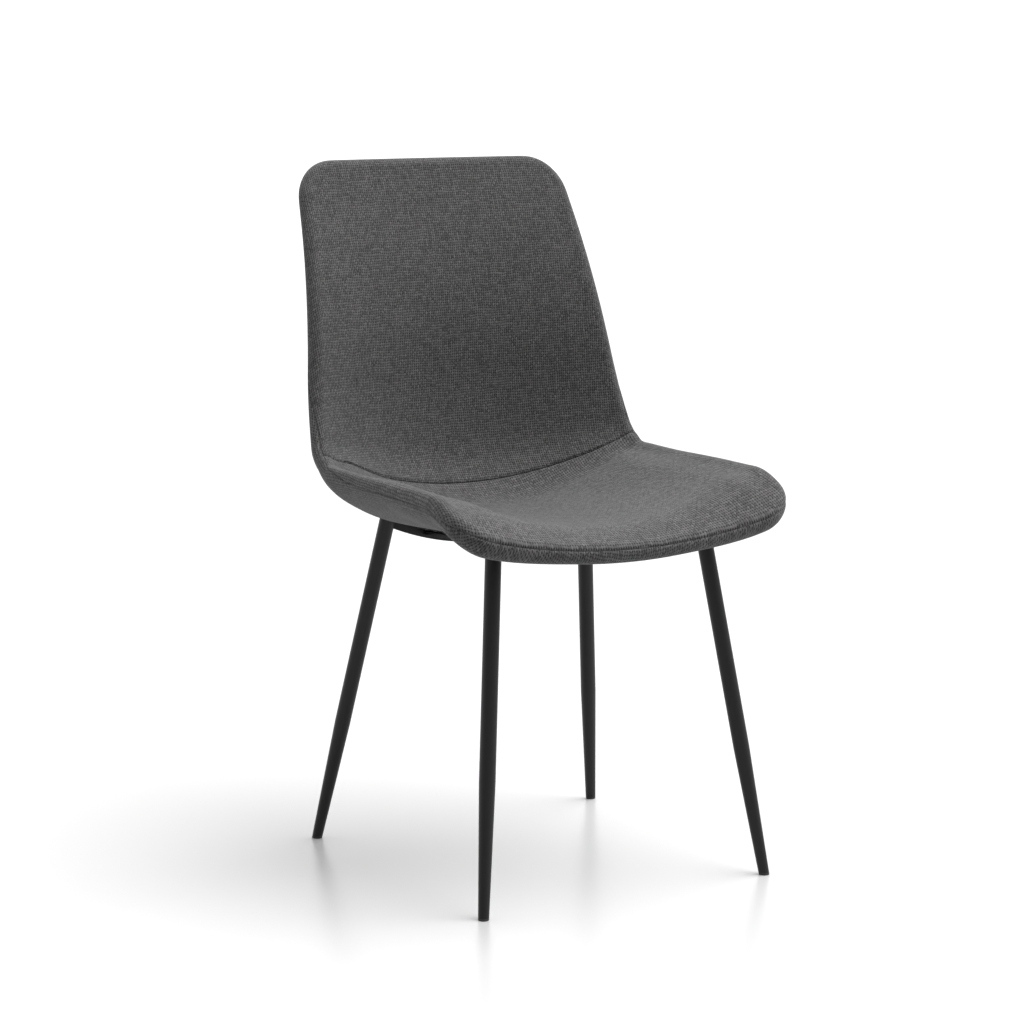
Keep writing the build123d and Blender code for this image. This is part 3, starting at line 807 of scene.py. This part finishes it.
def make_dust_cover():
    """The thin cloth under the seat, as a closed sheet with rows finer at the hem."""
    turn = np.radians(np.linspace(0.0, 90.0, DUST_CORNER_ROWS))
    corner = DUST_CORNER * (1.0 - np.cos(turn))
    hem_lines = [HEM_WIDTH - 1.0, HEM_WIDTH, HEM_WIDTH + 1.0]
    near = np.unique(np.round([*corner, *hem_lines], 3))
    middle = np.linspace(DUST_CORNER, DUST_LENGTH - DUST_CORNER, DUST_ROWS)[1:-1]
    rows = np.concatenate([near, middle, DUST_LENGTH - near[::-1]])
    into = np.minimum(rows, DUST_LENGTH - rows)
    short = np.clip(DUST_CORNER - into, 0.0, DUST_CORNER)
    half = DUST_WIDTH / 2 - DUST_CORNER + np.sqrt(DUST_CORNER**2 - short**2)
    shares = np.concatenate([HEM_SHARES, np.linspace(0.11, 1.0, DUST_COLUMNS)])
    shares = np.concatenate([shares - 1.0, 1.0 - shares[::-1][1:]])
    across = half[:, None] * shares[None]
    length = np.broadcast_to(rows[:, None], across.shape)
    height = dust_height(across, length)
    outer = dust_point(across, length, height)
    inner = dust_point(across, length, height - DUST_THICKNESS)
    m, n = across.shape
    number = np.arange(m * n).reshape(m, n)
    low = np.stack([number[:-1, :-1], number[1:, :-1], number[1:, 1:], number[:-1, 1:]], -1)
    low = low.reshape(-1, 4)
    border = np.concatenate(
        [number[0, :-1], number[:-1, -1], number[-1, :0:-1], number[:0:-1, 0]]
    )
    walls = [(a, b, b + m * n, a + m * n) for a, b in zip(border, np.roll(border, -1))]
    vertices = np.concatenate([outer.reshape(-1, 3), inner.reshape(-1, 3)])
    cover = mesh_piece("dust_cloth", vertices, [*low, *(low[:, ::-1] + m * n), *walls])
    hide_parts("dust_cover")
    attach(cover, "root")
    return cover


def make_staples():
    """Staples through the dust cover's hem."""
    radius = DUST_CORNER - STAPLE_INSET
    straight_x, straight_y = DUST_WIDTH - 2 * DUST_CORNER, DUST_LENGTH - 2 * DUST_CORNER
    line = []
    for quarter, (sx, sy) in enumerate(((1, 1), (-1, 1), (-1, -1), (1, -1))):
        turn = np.radians(90.0 * quarter + np.linspace(0.0, 90.0, 13))
        x = sx * straight_x / 2 + radius * np.cos(turn)
        y = sy * straight_y / 2 + radius * np.sin(turn)
        line.append(np.stack([x, y + DUST_LENGTH / 2], 1))
    line = np.concatenate([*line, line[0][:1]])
    length = run_lengths(line)
    count = int(length[-1] / STAPLE_PITCH)
    share, dip = np.array(STAPLE_SHAPE).T
    paths = []
    for middle in (np.arange(count) + 0.5) * length[-1] / count:
        wanted = middle + STAPLE_LENGTH * share
        across = np.interp(wanted, length, line[:, 0])
        down = np.interp(wanted, length, line[:, 1])
        paths.append(dust_point(across, down, dust_height(across, down) + dip))
    staples = short_wires("dust_cover_staples", paths, STAPLE_RADIUS)
    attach(staples, "root")
    return staples


stitches = make_stitches()
dust_cloth = make_dust_cover()
staples = make_staples()


# ------------------------------ materials
YARN_DRIFT, DRIFT_SCALE = 1.3, 0.16               # how far yarns wander, in yarns
YARN_CRIMP, YARN_ROUND = 0.2, 0.8                 # depth of over and under; profile
SLUB, FLECK, CLOUD = 1.15, 0.6, 0.18              # variation of shade in a yarn and over all
YARN_SHADE, WARP_LIGHTER = 0.9, 0.2
PAINTED_YARN_SHADING = (0.3, 0.85, 0.0, 1.46)                   # yarn heights, and their brightness: painted shade in the hollows between yarns, painted light on their crests
CHARCOAL_WARM, CHARCOAL_COOL = (0.0495, 0.0465, 0.0475), (0.0475, 0.0488, 0.0475)
WEAVE_RELIEF = 0.0005


def tint(colour, factor=1.0):
    return tuple(factor * channel for channel in colour) + (1,)


class Tree:
    """Short calls that build a node tree."""

    def __init__(self, tree):
        self.tree = tree

    def node(self, kind, **settings):
        made = self.tree.nodes.new(kind)
        for key, value in settings.items():
            setattr(made, key, value)
        return made

    def plug(self, value, socket):
        if isinstance(value, bpy.types.NodeSocket):
            self.tree.links.new(value, socket)
        else:
            socket.default_value = value

    def plug_all(self, values, made):
        for value, socket in zip(values, made.inputs):
            self.plug(value, socket)
        return made.outputs[0]

    def math(self, operation, *values):
        return self.plug_all(values, self.node("ShaderNodeMath", operation=operation))

    def vary(self, value, amount, base):
        """base, plus amount times the distance of value from a half."""
        return self.math("MULTIPLY_ADD", self.math("SUBTRACT", value, 0.5), amount, base)

    def mix(self, share, first, second):
        made = self.node("ShaderNodeMix", data_type="RGBA")
        for value, index in ((share, 0), (first, 6), (second, 7)):
            self.plug(value, made.inputs[index])
        return made.outputs[2]

    def choose(self, share, first, second):
        made = self.node("ShaderNodeMix", data_type="FLOAT")
        for value, index in ((share, 0), (first, 2), (second, 3)):
            self.plug(value, made.inputs[index])
        return made.outputs[0]

    def vector(self, x, y, z):
        return self.plug_all((x, y, z), self.node("ShaderNodeCombineXYZ"))

    def split(self, vector):
        made = self.node("ShaderNodeSeparateXYZ")
        self.plug(vector, made.inputs[0])
        return made.outputs

    def scaled(self, vector, scale):
        made = self.node("ShaderNodeVectorMath", operation="SCALE")
        self.plug(vector, made.inputs[0])
        self.plug(scale, made.inputs["Scale"])
        return made.outputs[0]

    def object_place(self):
        """Object coordinates in millimetres."""
        return self.scaled(self.node("ShaderNodeTexCoord").outputs["Object"], MM)

    def noise(self, place, scale, detail=2.0, roughness=0.5):
        made = self.node("ShaderNodeTexNoise")
        self.plug(place, made.inputs["Vector"])
        made.inputs["Scale"].default_value = scale
        made.inputs["Detail"].default_value = detail
        made.inputs["Roughness"].default_value = roughness
        return made.outputs[0]

    def random(self, place):
        made = self.node("ShaderNodeTexWhiteNoise", noise_dimensions="3D")
        self.plug(place, made.inputs["Vector"])
        return made.outputs["Value"]

    def map_range(self, value, low, high, to_low, to_high):
        return self.plug_all(
            (value, low, high, to_low, to_high), self.node("ShaderNodeMapRange")
        )

    def bump(self, height, distance, strength=1.0):
        made = self.node("ShaderNodeBump")
        made.inputs["Strength"].default_value = strength
        made.inputs["Distance"].default_value = distance
        self.plug(height, made.inputs["Height"])
        return made.outputs[0]


class Nodes(Tree):
    """The node tree of a new material."""

    def __init__(self, name):
        self.material = bpy.data.materials.new(name)
        self.material.use_nodes = True
        super().__init__(self.material.node_tree)
        self.tree.nodes.clear()
        output = self.node("ShaderNodeOutputMaterial")
        self.shader = self.node("ShaderNodeBsdfPrincipled")
        self.plug(self.shader.outputs[0], output.inputs["Surface"])

    def finish(self, **sockets):
        for name, value in sockets.items():
            self.plug(value, self.shader.inputs[name.replace("_", " ")])
        return self.material


def yarn_height(n, number, wave, other_wave, sign):
    """Height of one set of yarns: round across, over and under the other set."""
    parity = n.math("FLOORED_MODULO", number, 2.0)
    parity = n.math("MULTIPLY_ADD", parity, -2.0 * sign, 1.0 * sign)
    crossing = n.math("MULTIPLY", parity, other_wave)
    over = n.math("MULTIPLY_ADD", crossing, YARN_CRIMP, 1.0 - YARN_CRIMP)
    across = n.math("POWER", n.math("ABSOLUTE", wave), YARN_ROUND)
    return n.math("MULTIPLY", across, over)


def fabric(name):
    """Coarse plain weave of charcoal yarns, with painted shade in the hollows between them and
    painted light on their crests; the attribute counts yarns both ways.
    """
    n = Nodes(name)
    place = n.node("ShaderNodeAttribute", attribute_name="weave").outputs["Vector"]
    u, v, _ = n.split(place)
    warp = n.vary(n.noise(place, DRIFT_SCALE), YARN_DRIFT, u)
    weft = n.vary(n.noise(n.vector(v, u, 7.0), DRIFT_SCALE), YARN_DRIFT, v)
    i, j = n.math("FLOOR", warp), n.math("FLOOR", weft)
    warp_wave = n.math("SINE", n.math("MULTIPLY", warp, pi))
    weft_wave = n.math("SINE", n.math("MULTIPLY", weft, pi))
    warp_height = yarn_height(n, i, warp_wave, weft_wave, 1.0)
    weft_height = yarn_height(n, j, weft_wave, warp_wave, -1.0)
    height = n.math("MAXIMUM", warp_height, weft_height)
    on_top = n.math("GREATER_THAN", warp_height, weft_height)

    # Each yarn has its own shade, which drifts along it in slubs.
    along_warp = n.vector(n.math("MULTIPLY", i, 7.31), n.math("MULTIPLY", v, 0.16), 0.0)
    along_weft = n.vector(n.math("MULTIPLY", u, 0.16), n.math("MULTIPLY", j, 7.31), 3.0)
    slub = n.choose(on_top, n.noise(along_weft, 1.0), n.noise(along_warp, 1.0))
    shade = n.vary(slub, SLUB, YARN_SHADE)
    shade = n.math("MULTIPLY_ADD", on_top, WARP_LIGHTER, shade)
    shade = n.vary(n.random(n.vector(i, j, 0.0)), FLECK, shade)
    shade = n.vary(n.noise(place, 0.06), CLOUD, shade)
    # Painted shade and light: darker where the yarns dip into the hollows between them, lighter
    # on their crests.
    shade = n.math("MULTIPLY", shade, n.map_range(height, *PAINTED_YARN_SHADING))
    cool = n.random(n.vector(j, i, 5.0))
    tone = n.mix(cool, tint(CHARCOAL_WARM), tint(CHARCOAL_COOL))
    relief = n.math("MULTIPLY_ADD", n.noise(place, 6.0), 0.25, height)
    return n.finish(
        Base_Color=n.scaled(tone, n.math("MAXIMUM", shade, 0.05)),
        Roughness=0.92,
        Specular_IOR_Level=0.25,
        Sheen_Weight=0.2,
        Sheen_Roughness=0.45,
        Sheen_Tint=(0.75, 0.75, 0.78, 1),
        Normal=n.bump(relief, WEAVE_RELIEF),
    )


def powder_coat():
    """Satin black powder coat with its fine orange peel."""
    n = Nodes("powder_coat")
    place = n.object_place()
    peel = n.noise(place, 1.1, 3.0, 0.6)
    broad = n.noise(place, 0.06)
    return n.finish(
        Base_Color=n.mix(broad, (0.0035, 0.0035, 0.0037, 1), (0.0055, 0.0054, 0.0053, 1)),
        Roughness=n.map_range(peel, 0.3, 0.7, 0.36, 0.5),
        Specular_IOR_Level=0.35,
        Normal=n.bump(peel, 0.00006, 0.5),
    )


def plastic(name, colour, roughness):
    n = Nodes(name)
    place = n.object_place()
    grain = n.noise(place, 2.5)
    return n.finish(
        Base_Color=n.mix(n.noise(place, 0.2), tint(colour), tint(colour, 1.35)),
        Roughness=n.map_range(grain, 0.3, 0.7, roughness - 0.06, roughness + 0.06),
        Normal=n.bump(grain, 0.00004, 0.4),
    )


def metal(name, colour, roughness):
    n = Nodes(name)
    place = n.object_place()
    stain = n.noise(place, 0.35, 4.0, 0.65)
    return n.finish(
        Base_Color=n.mix(stain, tint(colour), tint(colour, 0.6)),
        Metallic=1.0,
        Roughness=n.map_range(stain, 0.3, 0.7, roughness, roughness + 0.15),
        Normal=n.bump(n.noise(place, 3.0), 0.00003, 0.4),
    )


def felt(name, colour):
    """Non-woven cloth: pressed fibres with embossed points."""
    n = Nodes(name)
    place = n.object_place()
    fibre = n.noise(place, 1.6, 4.0, 0.7)
    points = n.node("ShaderNodeTexVoronoi")
    n.plug(place, points.inputs["Vector"])
    points.inputs["Scale"].default_value = 0.55
    relief = n.math("ADD", fibre, points.outputs["Distance"])
    return n.finish(
        Base_Color=n.mix(fibre, tint(colour), tint(colour, 2.2)),
        Roughness=0.88,
        Sheen_Weight=0.15,
        Normal=n.bump(relief, 0.00025, 0.6),
    )


def plywood():
    """Veneer with its grain across the shell."""
    n = Nodes("plywood")
    stretch = zip(n.split(n.object_place()), (0.6, 0.04, 0.04))
    grain = n.noise(n.vector(*(n.math("MULTIPLY", axis, k) for axis, k in stretch)), 1.0, 4.0)
    tone = n.mix(grain, (0.42, 0.27, 0.14, 1), (0.62, 0.45, 0.27, 1))
    return n.finish(Base_Color=tone, Roughness=0.6, Normal=n.bump(grain, 0.0001, 0.3))


def dress(piece, material):
    """Give a piece one material on all its slots."""
    if piece.data.materials:
        for index in range(len(piece.data.materials)):
            piece.data.materials[index] = material
    else:
        piece.data.materials.append(material)


def dress_all():
    cloth = fabric("charcoal_weave")
    black = powder_coat()
    glide = plastic("glide_plastic", (0.012, 0.012, 0.012), 0.5)
    rubber = plastic("spacer_rubber", (0.02, 0.02, 0.02), 0.75)
    zinc = metal("zinc_steel", (0.62, 0.63, 0.64), 0.32)
    black_steel = metal("black_steel", (0.06, 0.06, 0.062), 0.4)
    by_ending = {
        "_glide": glide,
        "_cap": glide,
        "rubber_spacers": rubber,
        "_washers": zinc,
        "tee_nuts": zinc,
        "mounting_bolts": black_steel,
        "plywood_shell": plywood(),
    }
    for name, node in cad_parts.items():
        looks = [look for ending, look in by_ending.items() if name.endswith(ending)]
        dress(node, looks[0] if looks else black)
    for pad in pads.values():
        dress(pad, cloth)
    dress(dust_cloth, felt("dust_cloth", (0.016, 0.016, 0.016)))
    dress(staples, black_steel)
    dress(stitches, plastic("stitch_thread", (0.022, 0.022, 0.023), 0.8))


dress_all()


# ------------------------------ stage and camera
SKY = {                                   # brightness towards each side of the studio
    "base": 0.09,
    "up": 1.12,
    "left": 0.5,
    "rear": 1.05,
}
KEY_ENERGY, KEY_ANGLE = 4.5, 55.0
KEY_FROM = (1.2, -0.6, 2.5)
FLOOR_REACH = 9e3


def make_world():
    """A white studio that is brighter above, behind and to the chair's left."""
    world = bpy.data.worlds.new("studio")
    world.use_nodes = True
    t = Tree(world.node_tree)
    axes = t.split(t.node("ShaderNodeTexCoord").outputs["Generated"])
    total = SKY["base"]
    for side, axis in zip(("left", "rear", "up"), axes):
        total = t.math("MULTIPLY_ADD", t.math("MAXIMUM", axis, 0.0), SKY[side], total)
    background = t.tree.nodes["Background"]
    background.inputs[0].default_value = (1, 1, 1, 1)
    t.plug(total, background.inputs[1])
    bpy.context.scene.world = world


def make_stage():
    """A pale floor, the sky and one broad soft light."""
    reach = FLOOR_REACH
    corners = [(-reach, -reach, 0), (reach, -reach, 0), (reach, reach, 0), (-reach, reach, 0)]
    floor = mesh_piece("floor", corners, [(0, 1, 2, 3)])
    n = Nodes("studio_floor")
    pale = tint((0.44, 0.44, 0.44))
    dress(floor, n.finish(Base_Color=pale, Roughness=0.3, Specular_IOR_Level=0.3))
    make_world()
    key = bpy.data.lights.new("key_light", "SUN")
    key.energy = KEY_ENERGY
    key.angle = radians(KEY_ANGLE)
    light = bpy.data.objects.new("key_light", key)
    light.rotation_euler = Vector(KEY_FROM).to_track_quat("Z", "Y").to_euler()
    bpy.context.scene.collection.objects.link(light)


CAMERA_AZIMUTH, CAMERA_ELEVATION = radians(-29.60550496), radians(9.06731927)
CAMERA_DISTANCE = 3.8169211
CAMERA_AIM = Vector((-0.0286179, -0.0250618, 0.4431325))
CAMERA_LENS = 106.95
HALF_PIXEL = 0.5 / 1024


def make_camera():
    back = Vector((
        sin(CAMERA_AZIMUTH) * cos(CAMERA_ELEVATION),
        -cos(CAMERA_AZIMUTH) * cos(CAMERA_ELEVATION),
        sin(CAMERA_ELEVATION),
    ))
    data = bpy.data.cameras.new("camera")
    data.lens = CAMERA_LENS
    data.clip_end = 60.0
    data.shift_x = -HALF_PIXEL
    data.shift_y = HALF_PIXEL
    camera = bpy.data.objects.new("camera", data)
    camera.location = CAMERA_AIM + CAMERA_DISTANCE * back
    camera.rotation_euler = back.to_track_quat("Z", "Y").to_euler()
    bpy.context.scene.collection.objects.link(camera)
    bpy.context.scene.camera = camera


make_stage()
make_camera()
bpy.context.scene.view_settings.view_transform = "Standard"
